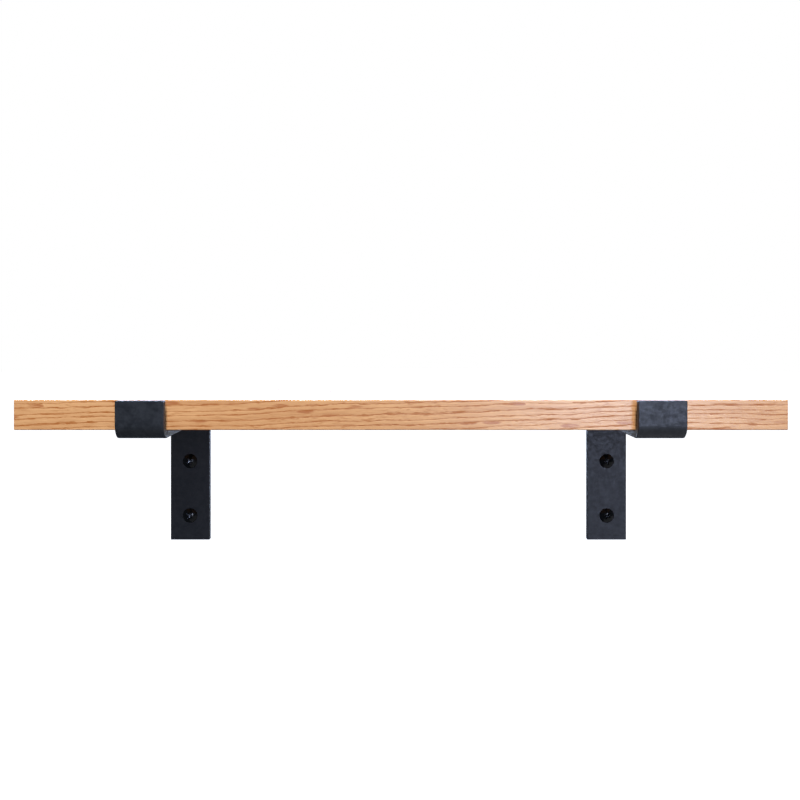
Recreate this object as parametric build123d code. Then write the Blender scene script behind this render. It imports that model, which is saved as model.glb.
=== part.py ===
from build123d import *
from dataclasses import dataclass
from math import radians, tan
import os

# Wall shelf: an oak board carried by two brackets. Each bracket is one flat steel bar with two
# bends: a lip in front of the board, an arm under it and a plate down the wall. Domed screws
# hold the plates to the wall, and countersunk screws in the arms hold the board.
#
# Millimetres, +Z up. The wall is the plane y = 0: +Y goes into it, and the front faces -Y.
# The origin is on the wall, at the centre of the four wall screws. Left and right are as seen
# from the front.

# Board
BOARD_LENGTH = 609.6
BOARD_DEPTH = 184.15
BOARD_THICKNESS = 23.8
BOARD_ARRIS = 0.5  # chamfer along the board's edges

# Flat bar that the brackets are bent from
BAR_WIDTH = 38.1
BAR_THICKNESS = 6.35
BAR_ARRIS = 0.6  # chamfer along the bar's edges
BEND_RADIUS = 5.0  # inside of a bend

# Brackets
BRACKET_SPACING = 406.4  # centre to centre, as wall studs are
PLATE_HEIGHT = 127.0  # from the arm's top to the plate's lower end
LIP_GAP = 4.5  # between the board's front edge and the lip, so that the board clears the bend
WALL_HOLE_SPACING = 53.0
WALL_HOLE_INSET = 23.8  # from the plate's lower end to the lower hole
WALL_HOLE_RADIUS = 3.6
BOARD_HOLE_INSET = 44.45  # from the board's front and back edges to the arm's holes
BOARD_HOLE_RADIUS = 2.8
COUNTERSINK_ANGLE = 82.0  # of the arm's holes and the heads in them, in degrees


@dataclass
class ScrewSize:
    """A cross-recessed wood screw, threaded up to its head and drawn without its thread."""

    length: float
    core_radius: float  # bottom of the thread
    point_length: float
    head_radius: float
    recess_radius: float  # to the end of a wing
    recess_depth: float
    wing_width: float


WALL_SCREW = ScrewSize(
    length=50.8,  # below the head
    core_radius=2.2,
    point_length=5.0,
    head_radius=7.0,
    recess_radius=3.8,
    recess_depth=3.0,
    wing_width=1.4,
)
DOME_HEIGHT = 3.7  # of a wall screw's head, with its rim
DOME_RIM_HEIGHT = 0.7

BOARD_SCREW = ScrewSize(
    length=25.4,  # with the head
    core_radius=1.7,
    point_length=4.0,
    head_radius=4.7,
    recess_radius=2.6,
    recess_depth=2.2,
    wing_width=1.1,
)
PILOT_CLEARANCE = 0.05  # round a board screw's core, in the hole drilled for it
PILOT_EXTRA_DEPTH = 0.8  # of that hole beyond the screw's tip
DRILL_POINT_ANGLE = 118.0

# Cross recess, in degrees from the screw's axis
WING_END_SLOPE = 26.5
WING_SIDE_SLOPE = 5.0
THROAT_WIDTH = 2.0  # across the flats between the wings, over a wing's width

# How far each screw happens to be turned, in degrees
WALL_SCREW_TURNS = {"left_upper": 28, "left_lower": 52, "right_upper": 17, "right_lower": 63}
BOARD_SCREW_TURNS = {"left_front": 40, "left_rear": 5, "right_front": 70, "right_rear": 22}

# Derived places
ARM_TOP = PLATE_HEIGHT - WALL_HOLE_INSET - WALL_HOLE_SPACING / 2
ARM_UNDERSIDE = ARM_TOP - BAR_THICKNESS
PLATE_END = ARM_TOP - PLATE_HEIGHT
LIP_FRONT = -(BOARD_DEPTH + LIP_GAP + BAR_THICKNESS)
BRACKET_X = {"left": -BRACKET_SPACING / 2, "right": BRACKET_SPACING / 2}
WALL_HOLE_Z = {"upper": WALL_HOLE_SPACING / 2, "lower": -WALL_HOLE_SPACING / 2}
BOARD_HOLE_Y = {"front": BOARD_HOLE_INSET - BOARD_DEPTH, "rear": -BOARD_HOLE_INSET}

TOWARDS_FRONT = Rot(90, 0, 0)  # turns what faces +Z to the front
DOWNWARDS = Rot(180, 0, 0)


def shelf_board():
    """The board, with its back edge at the wall and four drilled holes in its underside."""
    middle = Pos(0, -BOARD_DEPTH / 2, ARM_TOP + BOARD_THICKNESS / 2)
    board = middle * Box(BOARD_LENGTH, BOARD_DEPTH, BOARD_THICKNESS)
    board = chamfer(board.edges(), BOARD_ARRIS)
    for x in BRACKET_X.values():
        for y in BOARD_HOLE_Y.values():
            board -= Pos(x, y, ARM_TOP) * pilot_hole()
    return board


def pilot_hole():
    """The space of one drilled hole, from its mouth on z = 0 up to the cone the drill leaves."""
    radius = BOARD_SCREW.core_radius + PILOT_CLEARANCE
    depth = BOARD_SCREW.length - BAR_THICKNESS + PILOT_EXTRA_DEPTH
    cone_start = depth - radius / tan(radians(DRILL_POINT_ANGLE / 2))
    outline = Polyline((0, 0), (radius, 0), (radius, cone_start), (0, depth), close=True)
    return revolve(Plane.XZ * make_face(outline), Axis.Z)


def bent_bar():
    """The bar of one bracket, centred on x = 0: its side view, as wide as the bar."""
    half = BAR_THICKNESS / 2
    middle_line = FilletPolyline(
        (LIP_FRONT + half, ARM_TOP + BOARD_THICKNESS),
        (LIP_FRONT + half, ARM_UNDERSIDE + half),
        (-half, ARM_UNDERSIDE + half),
        (-half, PLATE_END),
        radius=BEND_RADIUS + half,
    )
    side_view = Plane.YZ * trace(middle_line, BAR_THICKNESS)
    bar = extrude(side_view, amount=BAR_WIDTH / 2, both=True).clean()
    return chamfer(bar.edges(), BAR_ARRIS)


def bracket():
    """One bracket: the bent bar with plain holes in its plate and countersunk ones in its arm."""
    bar = bent_bar()
    wall_hole = Hole(WALL_HOLE_RADIUS, BAR_THICKNESS)
    for z in WALL_HOLE_Z.values():
        bar -= Pos(0, -BAR_THICKNESS, z) * TOWARDS_FRONT * wall_hole
    board_hole = CounterSinkHole(
        BOARD_HOLE_RADIUS, BOARD_SCREW.head_radius, BAR_THICKNESS, COUNTERSINK_ANGLE
    )
    for y in BOARD_HOLE_Y.values():
        bar -= Pos(0, y, ARM_UNDERSIDE) * DOWNWARDS * board_hole
    return bar


def shank(size):
    """A screw's shank, from z = 0 down to its point."""
    straight = size.length - size.point_length
    outline = Polyline(
        (0, 0), (size.core_radius, 0), (size.core_radius, -straight), (0, -size.length), close=True
    )
    return revolve(Plane.XZ * make_face(outline), Axis.Z)


def tapered_pocket(length, width, depth, end_slope, side_slope):
    """A pocket from z = 0 down, whose ends and sides lean in by their slopes."""
    end_taper = depth * tan(radians(end_slope))
    side_taper = depth * tan(radians(side_slope))
    pocket = Wedge(
        length, depth, width,
        end_taper, side_taper, length - end_taper, width - side_taper,
        align=(Align.CENTER, Align.MIN, Align.CENTER),
    )
    return Rot(-90, 0, 0) * pocket


def cross_recess(size):
    """The space of a cross recess from z = 0 down: two slots, and a throat where they cross."""
    slot = tapered_pocket(
        2 * size.recess_radius, size.wing_width, size.recess_depth, WING_END_SLOPE, WING_SIDE_SLOPE
    )
    width = THROAT_WIDTH * size.wing_width
    throat = tapered_pocket(width, width, size.recess_depth / 2, WING_END_SLOPE, WING_END_SLOPE)
    return slot + Rot(0, 0, 90) * slot + Rot(0, 0, 45) * throat


def wall_screw():
    """A screw with a domed head that stands on z = 0."""
    size = WALL_SCREW
    rise = DOME_HEIGHT - DOME_RIM_HEIGHT
    ball_radius = (size.head_radius**2 + rise**2) / (2 * rise)
    # The ball lies on its side, so that its poles and seam are clear of the dome
    ball = Pos(0, 0, DOME_HEIGHT - ball_radius) * Rot(90, 0, 0) * Sphere(ball_radius)
    blank = Cylinder(size.head_radius, DOME_HEIGHT, align=(Align.CENTER, Align.CENTER, Align.MIN))
    return (blank & ball) + shank(size) - Pos(0, 0, DOME_HEIGHT) * cross_recess(size)


def board_screw():
    """A screw with a countersunk head, whose flat top is on z = 0."""
    size = BOARD_SCREW
    height = size.head_radius / tan(radians(COUNTERSINK_ANGLE / 2))
    head = DOWNWARDS * Cone(
        size.head_radius, 0, height, align=(Align.CENTER, Align.CENTER, Align.MIN)
    )
    return head + shank(size) - cross_recess(size)


def wall_screws():
    """The four screws through the plates, each with its head on its plate's front face."""
    screws = {}
    for name, turn in WALL_SCREW_TURNS.items():
        side, level = name.split("_")
        seat = Pos(BRACKET_X[side], -BAR_THICKNESS, WALL_HOLE_Z[level])
        screws[name + "_wall_screw"] = seat * TOWARDS_FRONT * Rot(0, 0, turn) * wall_screw()
    return screws


def board_screws():
    """The four screws up into the board, each with its head flush in its arm's underside."""
    screws = {}
    for name, turn in BOARD_SCREW_TURNS.items():
        side, end = name.split("_")
        seat = Pos(BRACKET_X[side], BOARD_HOLE_Y[end], ARM_UNDERSIDE)
        screws[name + "_board_screw"] = seat * DOWNWARDS * Rot(0, 0, turn) * board_screw()
    return screws


def wall_shelf():
    """Every piece of the shelf, by name."""
    pieces = {"shelf_board": shelf_board()}
    for side, x in BRACKET_X.items():
        pieces[side + "_bracket"] = Pos(x, 0, 0) * bracket()
    return pieces | wall_screws() | board_screws()


os.makedirs("parts", exist_ok=True)
for name, piece in wall_shelf().items():
    export_step(piece, f"parts/{name}.step")
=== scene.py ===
from dataclasses import dataclass
from math import asin, ceil, cos, pi, radians, sin, sqrt, tan

import bmesh
import bpy
from mathutils import Matrix, Vector


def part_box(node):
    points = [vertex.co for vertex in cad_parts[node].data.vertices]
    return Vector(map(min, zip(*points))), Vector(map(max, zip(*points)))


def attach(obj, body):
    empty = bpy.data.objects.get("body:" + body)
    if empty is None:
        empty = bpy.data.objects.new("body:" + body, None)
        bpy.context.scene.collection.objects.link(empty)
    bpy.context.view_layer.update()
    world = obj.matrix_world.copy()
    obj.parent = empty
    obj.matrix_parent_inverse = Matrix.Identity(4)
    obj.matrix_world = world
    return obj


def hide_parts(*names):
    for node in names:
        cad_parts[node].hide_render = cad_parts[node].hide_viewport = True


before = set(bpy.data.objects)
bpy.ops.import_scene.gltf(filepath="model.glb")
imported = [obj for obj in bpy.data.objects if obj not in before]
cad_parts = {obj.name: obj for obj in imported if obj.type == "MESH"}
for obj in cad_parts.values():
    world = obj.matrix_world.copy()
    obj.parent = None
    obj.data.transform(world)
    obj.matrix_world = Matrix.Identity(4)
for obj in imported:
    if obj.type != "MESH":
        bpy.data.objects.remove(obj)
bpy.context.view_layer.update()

# A wall shelf: an oak board on two powder-coated brackets, with black screws. The board is its
# CAD node with an oak material. The brackets and screws are built here, in millimetres, and are
# turned into metres where they replace their CAD nodes.
#
# The wall is the plane y = 0, with +Y into it, +X to the right and +Z up. Sizes are in
# millimetres and places come from the frame. The lights, the floor and the camera are in metres.

MM = 0.001  # metres


def box_mm(node):
    """Lowest and highest corners of a CAD node, in millimetres."""
    low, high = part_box(node)
    return low / MM, high / MM


def middle_mm(node):
    """The middle of a CAD node's box, in millimetres."""
    low, high = box_mm(node)
    return (low + high) / 2


# ---------------------------------------------------------------- sizes and places

bracket_low, bracket_high = box_mm("left_bracket")
board_low, _ = box_mm("shelf_board")

# Flat bar that the brackets are bent from
BAR_WIDTH = bracket_high.x - bracket_low.x
BAR_THICKNESS = 6.35
BAR_ARRIS = 0.6  # radius along the bar's edges
BEND_RADIUS = 5.0  # inside of a bend

# Where the bar runs
LIP_FRONT = bracket_low.y
LIP_TOP = bracket_high.z
ARM_TOP = board_low.z
ARM_UNDERSIDE = ARM_TOP - BAR_THICKNESS
PLATE_END = bracket_low.z

# Its holes
WALL_HOLE_RADIUS = 3.6
HOLE_ARRIS = 0.35  # radius where a wall hole meets a face
BOARD_HOLE_RADIUS = 2.8
COUNTERSINK_RADIUS = 4.7
COUNTERSINK_ANGLE = 82.0
COUNTERSINK_SLOPE = tan(radians(COUNTERSINK_ANGLE / 2))  # radius gained in each millimetre
MOUTH_WIDTH = 0.25  # of the chamfer round a countersink
MOUTH_DEPTH = 0.2


@dataclass
class ScrewSize:
    """A threaded screw with a cross recess in its head."""

    head_radius: float
    shank_length: float
    core_radius: float  # bottom of the thread
    crest_radius: float  # top of the thread
    pitch: float
    point_length: float
    recess_radius: float  # to the end of a wing
    recess_depth: float
    wing_width: float


WALL_SCREW = ScrewSize(
    head_radius=7.0,
    shank_length=50.8,
    core_radius=2.2,
    crest_radius=3.05,
    pitch=2.8,
    point_length=7.0,
    recess_radius=3.8,
    recess_depth=3.0,
    wing_width=1.4,
)
DOME_HEIGHT = 3.7  # of a wall screw's head, with its rim
DOME_RIM_HEIGHT = 0.7
DOME_EDGE = 0.45  # radius of the rim's lower edge
DOME_INSET = 0.12  # from the rim in to where the dome starts

FLAT_HEAD_RADIUS = 4.65  # a hair less than the countersink
BOARD_CORE_RADIUS = 1.65  # a hair less than the pilot hole
FLAT_HEAD_HEIGHT = (FLAT_HEAD_RADIUS - BOARD_CORE_RADIUS) / COUNTERSINK_SLOPE
BOARD_SCREW_LENGTH = 25.4  # with its head
BOARD_SCREW = ScrewSize(
    head_radius=FLAT_HEAD_RADIUS,
    shank_length=BOARD_SCREW_LENGTH - FLAT_HEAD_HEIGHT,
    core_radius=BOARD_CORE_RADIUS,
    crest_radius=2.3,
    pitch=1.9,
    point_length=5.0,
    recess_radius=2.6,
    recess_depth=2.2,
    wing_width=1.1,
)
FLAT_HEAD_SINK = 0.06  # from the arm's underside in to the head's flat top
FLAT_EDGE_HEIGHT = 0.15  # of the soft edge round the flat top
FLAT_EDGE_WIDTH = 0.2
FLAT_EDGE_MIDDLE = (0.05, 0.04)  # how far in and how far down the middle of that edge lies

# One turn of thread: (part of a pitch, part of the thread's height), with a flat root and crest
THREAD_TURN = ((0.0, 0.0), (0.42, 0.0), (0.66, 1.0), (0.74, 1.0), (0.98, 0.0))

# How far the walls of a cross recess lean from the screw's axis
WING_END_SLOPE = radians(26.5)
WING_SIDE_SLOPE = radians(5.0)
RECESS_TIP = 0.5  # how much deeper a recess is in its middle

# How far each screw happens to be turned, in degrees
WALL_SCREW_TURNS = {"left_upper": 28, "left_lower": 52, "right_upper": 17, "right_lower": 63}
BOARD_SCREW_TURNS = {"left_front": 40, "left_rear": 5, "right_front": 70, "right_rear": 22}

# How finely things are divided
BEND_STEPS = 14
ARRIS_STEPS = 4  # round a quarter
DOME_STEPS = 12
TURN_STEPS = 48  # round a hole or a screw
SAME_POINT = 0.0005  # nearer than this, two points are one
SHARP_ON_BRACKET = 35  # edges turn by at least this much, in degrees, to stay sharp
SHARP_ON_SCREW = 30

CUTTER_EXCESS = 1.0  # how far a cutter stands out of the face that it cuts
BACKWARDS = Matrix.Rotation(radians(-90), 4, "X")  # turns +Z to +Y
FORWARDS = Matrix.Rotation(radians(90), 4, "X")  # turns +Z to -Y
UPSIDE_DOWN = Matrix.Rotation(pi, 4, "X")

# ---------------------------------------------------------------- colours and patterns

OAK_LIGHT = (0.68, 0.350, 0.132, 1)
OAK_MIDDLE = (0.460, 0.195, 0.062, 1)
OAK_LINE = (0.34, 0.094, 0.009, 1)
OAK_RAY = (0.36, 0.110, 0.027, 1)
OAK_PORE = (0.20, 0.063, 0.017, 1)
OAK_END = (0.55, 0.45, 0.38, 1)  # what end grain multiplies the colour by
OAK_SHEEN = (0.80, 0.97, 1.0, 1)
COAT_DEEP = (0.0068, 0.0070, 0.0067, 1)
COAT_PALE = (0.0182, 0.0185, 0.0178, 1)
COAT_SHEEN = (0.89, 0.91, 1.0, 1)
SCREW_DEEP = (0.003, 0.003, 0.003, 1)
SCREW_PALE = (0.006, 0.006, 0.006, 1)
SCREW_SCUFFED = (0.03, 0.032, 0.036, 1)
STEEL = (0.46, 0.48, 0.52, 1)
FLOOR_COLOUR = (0.85, 0.85, 0.85, 1)
WHITE = (1, 1, 1, 1)


@dataclass
class Pattern:
    """Noise or cells of a size along X, Y and Z, shifted unlike any other pattern."""

    cell: tuple
    shift: float
    detail: float = 2.0
    roughness: float = 0.5


# The log that the board is from: its pith, and how its grain runs
PITH_Y = -75.0
PITH_Z = -130.0
RING_WIDTH = 3.7
RING_UNEVENNESS = 1.1  # in years
RING_RHYTHM = 0.45  # how often their width changes in a year
GRAIN_RISE = 0.030  # in each millimetre along the board
# How the grain strays from its straight line: how far, and in what pattern
GRAIN_STRAYS = (
    (12.0, Pattern((170, 190, 70), 3.1, detail=1.0)),
    (3.2, Pattern((34, 70, 12), 7.7)),
    (1.15, Pattern((5, 10, 1.5), 2.9)),
)

# The dark line of each ring
LINE_WIDTHS = (0.11, 0.17)  # the thinnest and the widest, in years, before they swell
LINE_SWELLING = Pattern((15, 8, 2.2), 1.3, 3.0, 0.6)
LINE_DASHES = Pattern((11, 4, 1.4), 5.9, 3.0, 0.6)

# Smaller marks of the oak
PORES = Pattern((6.5, 0.42, 0.42), 9.3, 2.0, 0.55)
PORE_STRENGTH = 0.45
STREAKS = Pattern((17, 0.7, 0.45), 2.2, 3.0, 0.65)
DRIFTS = Pattern((110, 30, 8), 8.4)
RAYS = Pattern((21, 0.8, 4.4), 4.4)
RAY_TEARS = Pattern((9, 0.7, 0.7), 6.6, detail=3.0)
RAY_STRENGTH = 0.85
FLECKS = Pattern((7.5, 0.9, 0.75), 12.9)
FLECK_CROWDS = Pattern((90, 30, 14), 11.7, detail=1.0)
END_STRENGTH = 0.55

# Varnish
OAK_ROUGHNESS = 0.26
LINE_ROUGHNESS = 0.26  # on top of that, in the dark lines
STREAK_ROUGHNESS = 0.10
OAK_RELIEF = 0.03  # of the pores that lie open

# Powder coat
COAT_PEEL = Pattern((0.9, 0.9, 0.9), 4.2, 2.0, 0.6)
COAT_CLOUDS = Pattern((6, 6, 6), 1.7, 4.0, 0.65)
COAT_MOTTLE = Pattern((3.2, 3.2, 3.2), 8.3, 3.0, 0.7)
COAT_RELIEF = 0.06

# Screws
SCREW_CLOUDS = Pattern((2.5, 2.5, 2.5), 2.6, 4.0, 0.6)
SCREW_GRAIN = Pattern((0.25, 0.25, 0.25), 5.1)
SCREW_RELIEF = 0.01
SCUFFS = Pattern((0.5, 0.5, 0.5), 6.4, 3.0, 0.6)
# How much of a recess is bare steel on each side. The random scuffs are wear; the left's far larger
# share is painted glint, standing in for the light that catches the left screws more.
SCUFF_AND_GLINT_STRENGTHS = (1.0, 0.13)  # in the left and in the right bracket
SCUFF_AND_GLINT_FADE = 0.1  # metres to either side, over which the one turns into the other

# ---------------------------------------------------------------- lights, floor and camera

DAYLIGHT = (0.90, 1.0, 1.28)
SKYLIGHT = (0.75, 0.95, 1.35)
ROOM_LIGHT = 0.10
WHITE_LIGHT = 1.0
FLOOR_Z = -1.3
FLOOR_RADIUS = 30.0
FLOOR_SIDES = 64
CAMERA_PLACE = (-0.010, -0.9248, 0.1599)
CAMERA_LENS = 42.354  # millimetres
CAMERA_SENSOR = 36  # millimetres
CAMERA_SHIFT = (0.01475, -0.0945)
CAMERA_REACH = 200


@dataclass
class Softbox:
    """A rectangular soft light that faces its target."""

    centre: tuple
    target: tuple
    size: tuple
    radiance: float
    colour: tuple = (1, 1, 1)
    diffuse: bool = True  # whether it lights surfaces
    glossy: bool = True  # whether it shows in their gloss


RADIANCE_TO_WATTS = 4  # for each square metre of a softbox
AT_FRONT = (0, -0.15, 0.06)
AT_MIDDLE = (0, -0.1, 0.05)
AT_UNDERSIDE = (0, -0.1, 0.08)
AT_TOP = (0, -0.1, 0.1)
SOFTBOXES = {
    "key": Softbox((0.63, -2.06, 0.26), AT_FRONT, (0.45, 0.8), 10.3, DAYLIGHT, diffuse=False),
    "overhead": Softbox((0, -3.08, 5.26), AT_FRONT, (0.9, 2.2), 80.0, DAYLIGHT, glossy=False),
    "front": Softbox((0, -5.35, 3.06), AT_FRONT, (0.9, 2.2), 18.0, DAYLIGHT, glossy=False),
    "below": Softbox((0.8, -0.6, -1.2), AT_FRONT, (3.0, 2.6), 0.30),
    "back": Softbox((0, 1.3, 0.24), AT_TOP, (2.0, 0.34), 12.8, SKYLIGHT, diffuse=False),
    "rear": Softbox((0, 3.0, 1.6), AT_MIDDLE, (2.0, 1.2), 12.0, DAYLIGHT, glossy=False),
    "left": Softbox((-2.6, 0.35, 0.7), AT_MIDDLE, (1.0, 1.0), 14.0, DAYLIGHT, glossy=False),
    "right": Softbox((2.6, 0.35, 0.7), AT_MIDDLE, (1.0, 1.0), 14.0, DAYLIGHT, glossy=False),
    "under": Softbox((0, 0.4, -1.15), AT_UNDERSIDE, (2.0, 0.9), 1.2, DAYLIGHT, glossy=False),
    "back_low": Softbox((0, 1.3, -0.15), AT_MIDDLE, (2.3, 0.45), 0.4),
}

# ---------------------------------------------------------------- mesh helpers


def new_object(name, bm, material):
    """A linked object with bm as its mesh."""
    mesh = bpy.data.meshes.new(name)
    mesh.materials.append(material)
    bmesh.ops.recalc_face_normals(bm, faces=bm.faces)
    bm.to_mesh(mesh)
    bm.free()
    made = bpy.data.objects.new(name, mesh)
    bpy.context.scene.collection.objects.link(made)
    return made


def quarter_round(radius):
    """For each point of a rounded edge, how far it lies from one face and from the other."""
    for step in range(ARRIS_STEPS + 1):
        angle = pi / 2 * step / ARRIS_STEPS
        yield radius * (1 - sin(angle)), radius * (1 - cos(angle))


def turned_point(radius, z, step):
    """The point of a turned surface at this radius and height, some steps round the Z axis."""
    angle = -2 * pi * step / TURN_STEPS
    return radius * cos(angle), radius * sin(angle), z


def lathe(profile):
    """A turned surface about Z, from (radius, z) pairs. A pair on the axis is a single point."""
    bm = bmesh.new()
    rings = []
    for radius, z in profile:
        steps = TURN_STEPS if radius else 1
        rings.append([bm.verts.new(turned_point(radius, z, step)) for step in range(steps)])
    skin(bm, rings)
    return bm


def skin(bm, rings):
    """Faces between each ring and the next."""
    for lower, upper in zip(rings, rings[1:]):
        join_rings(bm, lower, upper)


def join_rings(bm, lower, upper):
    """Faces between two rings of the same count, or between a ring and a single point."""
    count = max(len(lower), len(upper))
    for i in range(count):
        j = (i + 1) % count
        corners = [lower[i % len(lower)], lower[j % len(lower)]]
        corners += [upper[j % len(upper)], upper[i % len(upper)]]
        bm.faces.new(dict.fromkeys(corners))


def cut(piece, cutters):
    """Takes the cutters' solids out of piece and removes them. Cut faces get their materials."""
    for cutter in cutters:
        modifier = piece.modifiers.new("cut", "BOOLEAN")
        modifier.operation = "DIFFERENCE"
        modifier.solver = "EXACT"
        modifier.material_mode = "TRANSFER"
        modifier.object = cutter
    depsgraph = bpy.context.evaluated_depsgraph_get()
    whole = piece.data
    piece.data = bpy.data.meshes.new_from_object(piece.evaluated_get(depsgraph))
    piece.data.name = piece.name
    piece.modifiers.clear()
    bpy.data.meshes.remove(whole)
    for cutter in cutters:
        bpy.data.meshes.remove(cutter.data)
    bm = bmesh.new()
    bm.from_mesh(piece.data)
    weld(bm)
    bm.to_mesh(piece.data)
    bm.free()


def weld(bm):
    """Merges the points that are as good as the same, and the slivers between them."""
    bmesh.ops.remove_doubles(bm, verts=bm.verts, dist=SAME_POINT)
    bmesh.ops.dissolve_degenerate(bm, dist=SAME_POINT, edges=bm.edges)


def finish_piece(piece, place, node, sharp):
    """Puts a piece in its place in metres, smooths it between sharp edges, hides its CAD node and
    hangs it under the root body.
    """
    mesh = piece.data
    mesh.transform(Matrix.Scale(MM, 4) @ place)
    mesh.polygons.foreach_set("use_smooth", [True] * len(mesh.polygons))
    mesh.set_sharp_from_angle(angle=radians(sharp))
    weighted = piece.modifiers.new("weighted normals", "WEIGHTED_NORMAL")
    weighted.keep_sharp = True
    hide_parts(node)
    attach(piece, "root")


# ---------------------------------------------------------------- brackets


def bar_outline(inset):
    """The bar's cross-section about its middle, drawn in by inset, with round corners."""
    half_width = BAR_WIDTH / 2 - BAR_ARRIS
    half_thickness = BAR_THICKNESS / 2 - BAR_ARRIS
    radius = BAR_ARRIS - inset
    points = []
    for corner, (side, face) in enumerate(((1, 1), (-1, 1), (-1, -1), (1, -1))):
        for step in range(ARRIS_STEPS + 1):
            angle = pi / 2 * (corner + step / ARRIS_STEPS)
            across = side * half_width + radius * cos(angle)
            points.append((across, face * half_thickness + radius * sin(angle)))
    return points


def bend_stations(middle, start, end):
    """Stations round a bend: its centre (y, z), and the angles where the bar is at each end."""
    radius = BEND_RADIUS + BAR_THICKNESS / 2
    for step in range(BEND_STEPS + 1):
        angle = start + (end - start) * step / BEND_STEPS
        outward = Vector((cos(angle), sin(angle)))
        along = Vector((-outward.y, outward.x)) * (1 if end > start else -1)
        yield middle + radius * outward, along, 0.0


def end_stations(tip, inward):
    """Stations that round off a cut end of the bar, from its tip inwards."""
    for inset, from_tip in quarter_round(BAR_ARRIS):
        yield tip + inward * from_tip, inward, inset


def bar_stations():
    """Every station along the bar, from the lip's top to the plate's lower end.

    A station is the (y, z) of the bar's middle, the bar's direction there and its outline's inset.
    """
    half = BAR_THICKNESS / 2
    turn = BEND_RADIUS + half
    arm_z = ARM_TOP - half
    lip_y = LIP_FRONT + half
    down = Vector((0, -1))
    yield from end_stations(Vector((lip_y, LIP_TOP)), down)
    yield from bend_stations(Vector((lip_y + turn, arm_z + turn)), pi, 1.5 * pi)
    yield from bend_stations(Vector((-half - turn, arm_z - turn)), pi / 2, 0)
    for point, along, inset in reversed(list(end_stations(Vector((-half, PLATE_END)), -down))):
        yield point, -along, inset


def bent_bar(name, material):
    """The bar of one bracket, centred on x = 0."""
    bm = bmesh.new()
    rings = []
    for point, along, inset in bar_stations():
        across = Vector((-along.y, along.x))
        ring = []
        for x, offset in bar_outline(inset):
            y, z = point + across * offset
            ring.append(bm.verts.new((x, y, z)))
        rings.append(ring)
    skin(bm, rings)
    bm.faces.new(rings[0])
    bm.faces.new(rings[-1])
    weld(bm)
    return new_object(name, bm, material)


def rounded_mouth(radius, face, inward):
    """(radius, z) pairs that round a hole's mouth off, from outside its face into the hole."""
    points = [(radius + HOLE_ARRIS, face - inward * CUTTER_EXCESS)]
    for outward, depth in quarter_round(HOLE_ARRIS):
        points.append((radius + outward, face + inward * depth))
    return points


def hole_cutter(wall):
    """The solid inside a hole's wall, which is given as (radius, z) pairs."""
    return lathe([(0, wall[0][1]), *wall, (0, wall[-1][1])])


def wall_hole_cutter():
    """The space of a plain hole through the plate, with its front mouth at z = 0 and +Z inwards."""
    front = rounded_mouth(WALL_HOLE_RADIUS, 0, 1)
    back = reversed(rounded_mouth(WALL_HOLE_RADIUS, BAR_THICKNESS, -1))
    return hole_cutter([*front, *back])


def board_hole_cutter():
    """The space of a countersunk hole through the arm, with its mouth at z = 0 and +Z inwards."""
    mouth = COUNTERSINK_RADIUS + MOUTH_WIDTH
    cone_end = (COUNTERSINK_RADIUS - BOARD_HOLE_RADIUS) / COUNTERSINK_SLOPE
    wall = [(mouth, -CUTTER_EXCESS), (mouth, 0), (COUNTERSINK_RADIUS, MOUTH_DEPTH)]
    wall += [(BOARD_HOLE_RADIUS, cone_end), (BOARD_HOLE_RADIUS, BAR_THICKNESS + CUTTER_EXCESS)]
    return hole_cutter(wall)


def bracket(side, material):
    """One bracket of bent bar with its four holes."""
    piece = bent_bar(side + "_bracket_bar", material)
    cutters = []
    for level in ("upper", "lower"):
        middle = middle_mm(f"{side}_{level}_wall_screw")
        hole = new_object("wall_hole", wall_hole_cutter(), material)
        hole.matrix_world = Matrix.Translation((0, -BAR_THICKNESS, middle.z)) @ BACKWARDS
        cutters.append(hole)
    for end in ("front", "rear"):
        middle = middle_mm(f"{side}_{end}_board_screw")
        hole = new_object("board_hole", board_hole_cutter(), material)
        hole.matrix_world = Matrix.Translation((0, middle.y, ARM_UNDERSIDE))
        cutters.append(hole)
    cut(piece, cutters)
    node = side + "_bracket"
    place = Matrix.Translation((middle_mm(node).x, 0, 0))
    finish_piece(piece, place, node, SHARP_ON_BRACKET)


# ---------------------------------------------------------------- screws


def shank_point(size, depth, rise, step):
    """A point of the shank's surface, depth below the head, held between the head and the tip."""
    depth = min(max(depth, 0.0), size.shank_length)
    to_tip = min((size.shank_length - depth) / size.point_length, 1.0)
    height = rise * (size.crest_radius - size.core_radius)
    # The thread runs in over its first turn and out over the last half of the point
    height *= min(depth / size.pitch, 1.0) * min(2 * to_tip, 1.0)
    return turned_point(size.core_radius * sqrt(to_tip) + height, -depth, step)


def add_shank(bm, size):
    """A threaded shank from z = 0 down to its point: a grid that follows the thread's helix."""
    turns = ceil(size.shank_length / size.pitch) + 2
    rows = []
    for turn in range(turns):
        for part, rise in THREAD_TURN:
            row = []
            for step in range(TURN_STEPS):
                depth = size.pitch * (turn - 1 + part + step / TURN_STEPS)
                row.append(bm.verts.new(shank_point(size, depth, rise, step)))
            rows.append(row)
    for index, (upper, lower) in enumerate(zip(rows, rows[1:])):
        for step in range(TURN_STEPS - 1):
            bm.faces.new((upper[step], upper[step + 1], lower[step + 1], lower[step]))
        # A row ends where the same row of the next turn starts
        seam = index + len(THREAD_TURN)
        if seam + 1 < len(rows):
            bm.faces.new((upper[-1], rows[seam][0], rows[seam + 1][0], lower[-1]))


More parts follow.
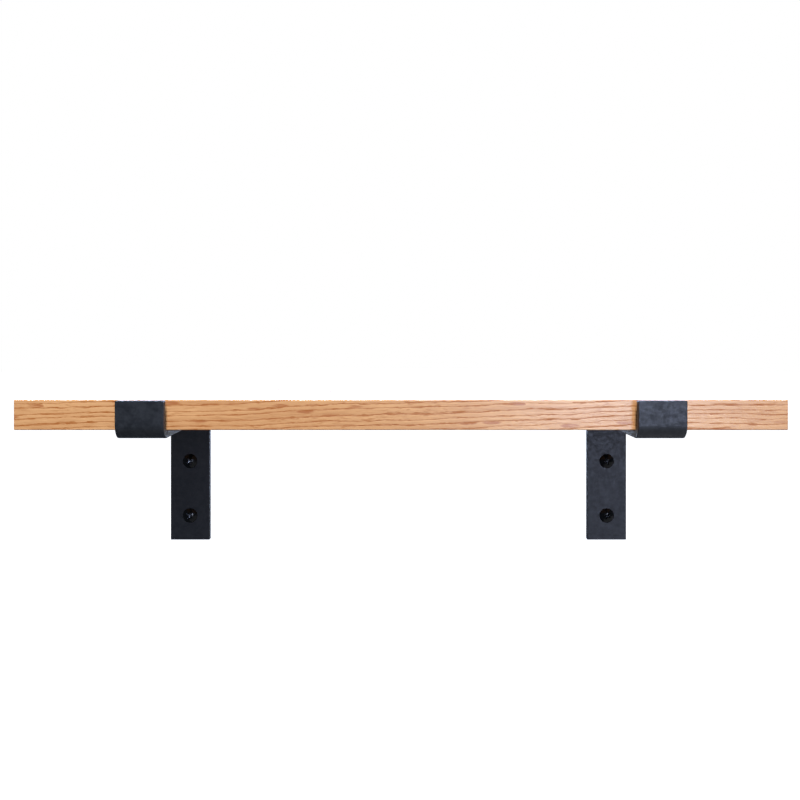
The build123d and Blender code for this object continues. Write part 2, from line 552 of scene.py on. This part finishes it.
def dome_profile(size):
    """(radius, z) pairs of a domed head that stands on z = 0, from the shank to its top."""
    radius = size.head_radius
    rise = DOME_HEIGHT - DOME_RIM_HEIGHT
    ball = (radius**2 + rise**2) / (2 * rise)
    ball_z = DOME_HEIGHT - ball
    points = [(size.core_radius, 0.0)]
    for inward, upward in quarter_round(DOME_EDGE):
        points.append((radius - inward, upward))
    rim = asin((radius - DOME_INSET) / ball)
    for step in range(DOME_STEPS):
        angle = rim * (1 - step / DOME_STEPS)
        points.append((ball * sin(angle), ball_z + ball * cos(angle)))
    points.append((0, DOME_HEIGHT))
    return points


def flat_profile(size):
    """(radius, z) pairs of a countersunk head on z = 0, from the shank to its flat top."""
    radius = size.head_radius
    height = FLAT_HEAD_HEIGHT
    inward, downward = FLAT_EDGE_MIDDLE
    return [
        (size.core_radius, 0.0),
        (radius - FLAT_EDGE_HEIGHT * COUNTERSINK_SLOPE, height - FLAT_EDGE_HEIGHT),
        (radius - inward, height - downward),
        (radius - FLAT_EDGE_WIDTH, height),
        (0, height),
    ]


def wings_cutter(size):
    """The two slots of a cross recess below z = 0, with ends and sides that lean in."""
    bm = bmesh.new()
    rings = []
    for depth in (-CUTTER_EXCESS, size.recess_depth):
        reach = size.recess_radius - depth * tan(WING_END_SLOPE)
        half = size.wing_width / 2 - depth * tan(WING_SIDE_SLOPE)
        ring = []
        for quarter in range(4):
            turn = Matrix.Rotation(quarter * pi / 2, 3, "Z")
            for x, y in ((reach, -half), (reach, half), (half, half)):
                ring.append(bm.verts.new(turn @ Vector((x, y, -depth))))
        rings.append(ring)
    skin(bm, rings)
    bm.faces.new(rings[0])
    tip = bm.verts.new((0, 0, -size.recess_depth - RECESS_TIP))
    join_rings(bm, [tip], rings[1])
    return bm


def throat_cutter(size):
    """The pyramid where the slots of a cross recess meet, with its tip down."""
    bm = bmesh.new()
    reach = size.wing_width * sqrt(2)
    depth = reach / tan(WING_END_SLOPE)
    reach *= 1 + CUTTER_EXCESS / depth
    ring = []
    for quarter in range(4):
        angle = quarter * pi / 2
        ring.append(bm.verts.new((reach * cos(angle), reach * sin(angle), CUTTER_EXCESS)))
    bm.faces.new(ring)
    join_rings(bm, [bm.verts.new((0, 0, -depth))], ring)
    return bm


def screw(node, size, head, turn, place, finish, bare):
    """The screw of a node, along -Z with its head above z = 0. Its cross recess is bare."""
    bm = lathe(head)
    add_shank(bm, size)
    weld(bm)
    piece = new_object(node + "_threaded", bm, finish)
    head_top = head[-1][1]
    cutters = []
    for shape in (wings_cutter, throat_cutter):
        cutter = new_object("recess", shape(size), bare)
        turned = Matrix.Rotation(radians(turn), 4, "Z")
        cutter.matrix_world = Matrix.Translation((0, 0, head_top)) @ turned
        cutters.append(cutter)
    cut(piece, cutters)
    finish_piece(piece, place, node, SHARP_ON_SCREW)


def wall_screws(finish, bare):
    """The four domed screws, each with its head on its plate's front face."""
    for name, turn in WALL_SCREW_TURNS.items():
        node = name + "_wall_screw"
        middle = middle_mm(node)
        seat = Matrix.Translation((middle.x, -BAR_THICKNESS, middle.z)) @ FORWARDS
        screw(node, WALL_SCREW, dome_profile(WALL_SCREW), turn, seat, finish, bare)


def board_screws(finish, bare):
    """The four countersunk screws, each with its head just inside its arm's underside."""
    seat_z = ARM_UNDERSIDE + FLAT_HEAD_HEIGHT + FLAT_HEAD_SINK
    for name, turn in BOARD_SCREW_TURNS.items():
        node = name + "_board_screw"
        middle = middle_mm(node)
        seat = Matrix.Translation((middle.x, middle.y, seat_z)) @ UPSIDE_DOWN
        screw(node, BOARD_SCREW, flat_profile(BOARD_SCREW), turn, seat, finish, bare)


# ---------------------------------------------------------------- materials


class Surface:
    """A material under construction, with one Principled shader at its end."""

    def __init__(self, name):
        self.material = bpy.data.materials.new(name)
        self.material.use_nodes = True
        self.tree = self.material.node_tree
        self.tree.nodes.clear()
        self.shader = self.tree.nodes.new("ShaderNodeBsdfPrincipled")
        output = self.tree.nodes.new("ShaderNodeOutputMaterial")
        self.tree.links.new(self.shader.outputs["BSDF"], output.inputs["Surface"])
        # Where a point is, in metres, and which way it faces
        coordinates = self.tree.nodes.new("ShaderNodeTexCoord").outputs
        self.place = coordinates["Object"]
        self.facing = coordinates["Normal"]

    def feed(self, socket, value):
        """Links value to the socket if it is another socket, and stores it there otherwise."""
        if isinstance(value, bpy.types.NodeSocket):
            self.tree.links.new(value, socket)
        else:
            socket.default_value = value

    def finish(self, inputs):
        """Feeds the shader's inputs, by name, and returns the material."""
        for name, value in inputs.items():
            self.feed(self.shader.inputs[name], value)
        return self.material

    def node(self, kind, values=(), **settings):
        """A new node with its settings and the values of its inputs, by name or by number."""
        made = self.tree.nodes.new("ShaderNode" + kind)
        for name, value in settings.items():
            setattr(made, name, value)
        for name, value in dict(values).items():
            self.feed(made.inputs[name], value)
        return made

    def part(self, vector, axis):
        """The X, Y or Z of a vector."""
        return self.node("SeparateXYZ", {"Vector": vector}).outputs[axis]

    def maths(self, operation, *values):
        """One Math node over the values."""
        return self.node("Math", dict(enumerate(values)), operation=operation).outputs["Value"]

    def product(self, first, second):
        """first times second."""
        return self.maths("MULTIPLY", first, second)

    def difference(self, first, second):
        """first less second."""
        return self.maths("SUBTRACT", first, second)

    def add_scaled(self, value, scale, total):
        """total with value times scale added."""
        return self.maths("MULTIPLY_ADD", value, scale, total)

    def remap(self, value, low, high, to_low=0.0, to_high=1.0, smooth=True):
        """value from low..high to to_low..to_high, held inside them."""
        kind = "SMOOTHSTEP" if smooth else "LINEAR"
        values = {"Value": value, "From Min": low, "From Max": high}
        values |= {"To Min": to_low, "To Max": to_high}
        return self.node("MapRange", values, interpolation_type=kind).outputs["Result"]

    def scaled(self, pattern):
        """The place, scaled so that a cell of the pattern becomes one unit."""
        scale = [1 / (MM * size) for size in pattern.cell]
        values = {"Vector": self.place, "Location": [pattern.shift] * 3, "Scale": scale}
        return self.node("Mapping", values).outputs["Vector"]

    def noise(self, pattern):
        """Noise from 0 to 1, about 0.5, in a pattern."""
        values = {"Vector": self.scaled(pattern), "Scale": 1.0}
        values |= {"Detail": pattern.detail, "Roughness": pattern.roughness}
        return self.node("TexNoise", values).outputs["Fac"]

    def mix(self, amount, first, second, blend="MIX"):
        """first and second colours mixed."""
        made = self.node("Mix", data_type="RGBA", blend_type=blend)
        # By number, because the sockets for colours and for numbers share their names
        for index, value in ((0, amount), (6, first), (7, second)):
            self.feed(made.inputs[index], value)
        return made.outputs[2]

    def bump(self, height, relief, strength, invert=False):
        """The normal of a surface whose height from 0 to 1 makes a relief in millimetres."""
        values = {"Height": height, "Distance": relief * MM, "Strength": strength}
        return self.node("Bump", values, invert=invert).outputs["Normal"]


def oak():
    """Red oak under satin varnish, cut flat from a log whose pith lies below the board."""
    wood = Surface("oak_satin")
    years = ring_years(wood)
    season = wood.maths("FRACT", years)
    from_middle = wood.maths("ABSOLUTE", wood.difference(season, 0.5))
    from_line = wood.difference(0.5, from_middle)  # years to the nearest dark line
    pores = wood.noise(PORES)
    line = dark_lines(wood, years, from_line, pores)
    open_pores = pore_grooves(wood, from_line, pores)
    streaks = wood.noise(STREAKS)

    colour = plain_wood(wood, season, streaks)
    colour = wood.mix(wood.product(rays(wood), RAY_STRENGTH), colour, OAK_RAY)
    colour = wood.mix(line, colour, OAK_LINE)
    colour = wood.mix(flecks(wood), colour, OAK_LINE)
    colour = wood.mix(wood.product(open_pores, PORE_STRENGTH), colour, OAK_PORE)
    colour = wood.mix(wood.product(end_grain(wood), END_STRENGTH), colour, OAK_END, "MULTIPLY")

    grooves = wood.add_scaled(line, 0.5, open_pores)
    rough = wood.add_scaled(line, LINE_ROUGHNESS, OAK_ROUGHNESS)
    return wood.finish({
        "Base Color": colour,
        "Normal": wood.bump(grooves, OAK_RELIEF, 0.6, invert=True),
        "Roughness": wood.add_scaled(streaks, STREAK_ROUGHNESS, rough),
        "Specular IOR Level": 0.72,
        "Specular Tint": OAK_SHEEN,
    })


def ring_years(wood):
    """How many years of growth rings, whose widths vary, lie between the pith and a place."""
    along = wood.part(wood.place, "X")
    height = wood.add_scaled(along, -GRAIN_RISE, wood.part(wood.place, "Z"))
    for reach, pattern in GRAIN_STRAYS:
        height = wood.add_scaled(wood.difference(wood.noise(pattern), 0.5), reach * MM, height)
    up = wood.difference(height, PITH_Z * MM)
    back = wood.difference(wood.part(wood.place, "Y"), PITH_Y * MM)
    squares = wood.maths("ADD", wood.maths("POWER", up, 2.0), wood.maths("POWER", back, 2.0))
    years = wood.maths("DIVIDE", wood.maths("SQRT", squares), RING_WIDTH * MM)
    values = {"W": years, "Scale": RING_RHYTHM, "Detail": 1.0}
    uneven = wood.node("TexNoise", values, noise_dimensions="1D").outputs["Fac"]
    return wood.add_scaled(uneven, RING_UNEVENNESS, years)


def dark_lines(wood, years, from_line, pores):
    """The dark line that each ring starts with, from 0 to 1: it swells, thins out and breaks up."""
    year = wood.maths("FLOOR", wood.maths("ADD", years, 0.5))
    chance = wood.node("TexWhiteNoise", {"W": year}, noise_dimensions="1D").outputs["Value"]
    swelling = wood.remap(wood.noise(LINE_SWELLING), 0.46, 0.70, 0.75, 2.6)
    width = wood.product(swelling, wood.remap(chance, 0.0, 1.0, *LINE_WIDTHS, smooth=False))
    line = wood.remap(wood.maths("DIVIDE", from_line, width), 1.15, 0.45)
    line = wood.product(line, wood.remap(wood.noise(LINE_DASHES), 0.36, 0.54, 0.55, 1.0))
    return wood.product(line, wood.remap(pores, 0.34, 0.56, 0.45, 1.0))


def pore_grooves(wood, from_line, pores):
    """Pores that lie open as fine grooves, from 0 to 1, most of them in the dark lines."""
    near_line = wood.remap(from_line, 0.35, 0.05, 0.25, 1.0)
    return wood.product(wood.remap(pores, 0.58, 0.74), near_line)


def plain_wood(wood, season, streaks):
    """The colour between the lines: fine streaks, and broad drifts of tone."""
    tone = wood.add_scaled(streaks, 0.9, wood.product(wood.noise(DRIFTS), 0.45))
    tone = wood.add_scaled(season, -0.12, tone)
    return wood.mix(wood.remap(tone, 0.42, 0.86, smooth=False), OAK_LIGHT, OAK_MIDDLE)


def rays(wood):
    """Thin sheets along the grain, from 0 to 1: lenses on the edges and short dashes on the faces."""
    values = {"Vector": wood.scaled(RAYS), "Scale": 1.0, "Randomness": 0.9}
    cells = wood.node("TexVoronoi", values).outputs
    picked = wood.node("SeparateColor", {"Color": cells["Color"]}).outputs["Red"]
    lens = wood.remap(cells["Distance"], 0.44, 0.26)
    lens = wood.product(lens, wood.remap(picked, 0.70, 0.76))
    return wood.product(lens, wood.remap(wood.noise(RAY_TEARS), 0.34, 0.55, 0.3, 1.0))


def flecks(wood):
    """Short dashes of the lines' colour, from 0 to 1, close together in some places."""
    crowds = wood.remap(wood.noise(FLECK_CROWDS), 0.42, 0.62, 0.12, 0.6)
    return wood.product(wood.remap(wood.noise(FLECKS), 0.56, 0.70), crowds)


def end_grain(wood):
    """1 on the board's two ends, and 0 elsewhere."""
    sideways = wood.maths("ABSOLUTE", wood.part(wood.facing, "X"))
    return wood.remap(sideways, 0.75, 0.95)


def powder_coat():
    """Matt blue-black powder coat: a fine orange peel with faint clouds."""
    coat = Surface("powder_coat_matt")
    peel = coat.noise(COAT_PEEL)
    clouds = coat.add_scaled(peel, 0.6, coat.noise(COAT_CLOUDS))
    mottle = coat.add_scaled(peel, 0.6, coat.noise(COAT_MOTTLE))
    return coat.finish({
        "Base Color": coat.mix(coat.remap(clouds, 0.60, 1.00), COAT_DEEP, COAT_PALE),
        "Normal": coat.bump(peel, COAT_RELIEF, 0.5),
        "Roughness": coat.remap(mottle, 0.60, 1.00, 0.39, 0.61),
        "Specular IOR Level": 0.56,
        "Specular Tint": COAT_SHEEN,
    })


def black_finish():
    """Smooth black finish of the screws, a little uneven."""
    black = Surface("screw_black")
    clouds = black.noise(SCREW_CLOUDS)
    return black.finish({
        "Base Color": black.mix(clouds, SCREW_DEEP, SCREW_PALE),
        "Normal": black.bump(black.noise(SCREW_GRAIN), SCREW_RELIEF, 0.4),
        "Roughness": black.remap(clouds, 0.3, 0.7, 0.15, 0.24),
        "Specular IOR Level": 0.22,
    })


def scuffed_and_glinting_recess():
    """The recess of a screw, scuffed to bare steel by use; far more of it is bare in the left
    bracket, which paints the brighter glints that the light gives the left screws.
    """
    scuffed_and_glinting = Surface("screw_recess_scuffed_and_glinting")
    along = scuffed_and_glinting.part(scuffed_and_glinting.place, "X")
    # Far more bare steel on the left than on the right: that difference is painted glint, the scuffs
    # themselves are wear.
    strength = scuffed_and_glinting.remap(along, -SCUFF_AND_GLINT_FADE, SCUFF_AND_GLINT_FADE, *SCUFF_AND_GLINT_STRENGTHS)
    scuffs_and_glints = scuffed_and_glinting.product(scuffed_and_glinting.remap(scuffed_and_glinting.noise(SCUFFS), 0.36, 0.56), strength)
    return scuffed_and_glinting.finish({
        "Base Color": scuffed_and_glinting.mix(scuffs_and_glints, SCREW_SCUFFED, STEEL),
        "Roughness": scuffed_and_glinting.remap(scuffs_and_glints, 0.0, 1.0, 0.45, 0.36),
        "Metallic": 1.0,
    })


# ---------------------------------------------------------------- stage


def light(name, box):
    """One softbox, which the camera doesn't see."""
    data = bpy.data.lights.new(name, "AREA")
    data.shape = "RECTANGLE"
    width, height = box.size
    data.size, data.size_y = width, height
    data.energy = RADIANCE_TO_WATTS * width * height * box.radiance
    data.color = box.colour
    made = bpy.data.objects.new(name, data)
    bpy.context.scene.collection.objects.link(made)
    made.location = box.centre
    aim = Vector(box.target) - Vector(box.centre)
    made.rotation_euler = aim.to_track_quat("-Z", "Y").to_euler()
    made.visible_camera = False
    made.visible_diffuse = box.diffuse
    made.visible_glossy = box.glossy


def floor():
    """A plain pale floor far below the shelf, lit so that it reads as white."""
    bm = bmesh.new()
    bmesh.ops.create_circle(bm, cap_ends=True, segments=FLOOR_SIDES, radius=FLOOR_RADIUS)
    bmesh.ops.translate(bm, verts=bm.verts, vec=(0, 0, FLOOR_Z))
    material = bpy.data.materials.new("pale_floor")
    material.use_nodes = True
    made = new_object("floor", bm, material)
    shader = material.node_tree.nodes["Principled BSDF"]
    shader.inputs["Base Color"].default_value = FLOOR_COLOUR
    shader.inputs["Emission Color"].default_value = WHITE
    shader.inputs["Emission Strength"].default_value = WHITE_LIGHT
    made.visible_diffuse = False
    made.visible_glossy = False


def surroundings():
    """White behind everything for the camera, and a dim room for the object's own light."""
    world = bpy.data.worlds.new("studio")
    world.use_nodes = True
    bpy.context.scene.world = world
    tree = world.node_tree
    tree.nodes.clear()
    room = tree.nodes.new("ShaderNodeBackground")
    room.inputs["Color"].default_value = (*SKYLIGHT, 1)
    room.inputs["Strength"].default_value = ROOM_LIGHT
    white = tree.nodes.new("ShaderNodeBackground")
    white.inputs["Color"].default_value = WHITE
    white.inputs["Strength"].default_value = WHITE_LIGHT
    path = tree.nodes.new("ShaderNodeLightPath")
    either = tree.nodes.new("ShaderNodeMixShader")
    output = tree.nodes.new("ShaderNodeOutputWorld")
    tree.links.new(path.outputs["Is Camera Ray"], either.inputs[0])
    tree.links.new(room.outputs[0], either.inputs[1])
    tree.links.new(white.outputs[0], either.inputs[2])
    tree.links.new(either.outputs[0], output.inputs["Surface"])


def camera():
    """A level camera in front of the shelf, a little above it."""
    data = bpy.data.cameras.new("camera")
    data.sensor_width = CAMERA_SENSOR
    data.lens = CAMERA_LENS
    data.shift_x, data.shift_y = CAMERA_SHIFT
    data.clip_end = CAMERA_REACH
    made = bpy.data.objects.new("camera", data)
    bpy.context.scene.collection.objects.link(made)
    made.location = CAMERA_PLACE
    made.rotation_euler = (radians(90), 0, 0)
    bpy.context.scene.camera = made


def plain_colours():
    """Shows colours as they are, with no film look."""
    bpy.context.scene.view_settings.view_transform = "Standard"
    bpy.context.scene.view_settings.look = "None"


# ---------------------------------------------------------------- assembly

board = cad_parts["shelf_board"]
board.data.materials[0] = oak()
coat = powder_coat()
for side in ("left", "right"):
    bracket(side, coat)
black = black_finish()
scuffed_and_glinting = scuffed_and_glinting_recess()
wall_screws(black, scuffed_and_glinting)
board_screws(black, scuffed_and_glinting)

floor()
surroundings()
camera()
for name, box in SOFTBOXES.items():
    light(name, box)
plain_colours()
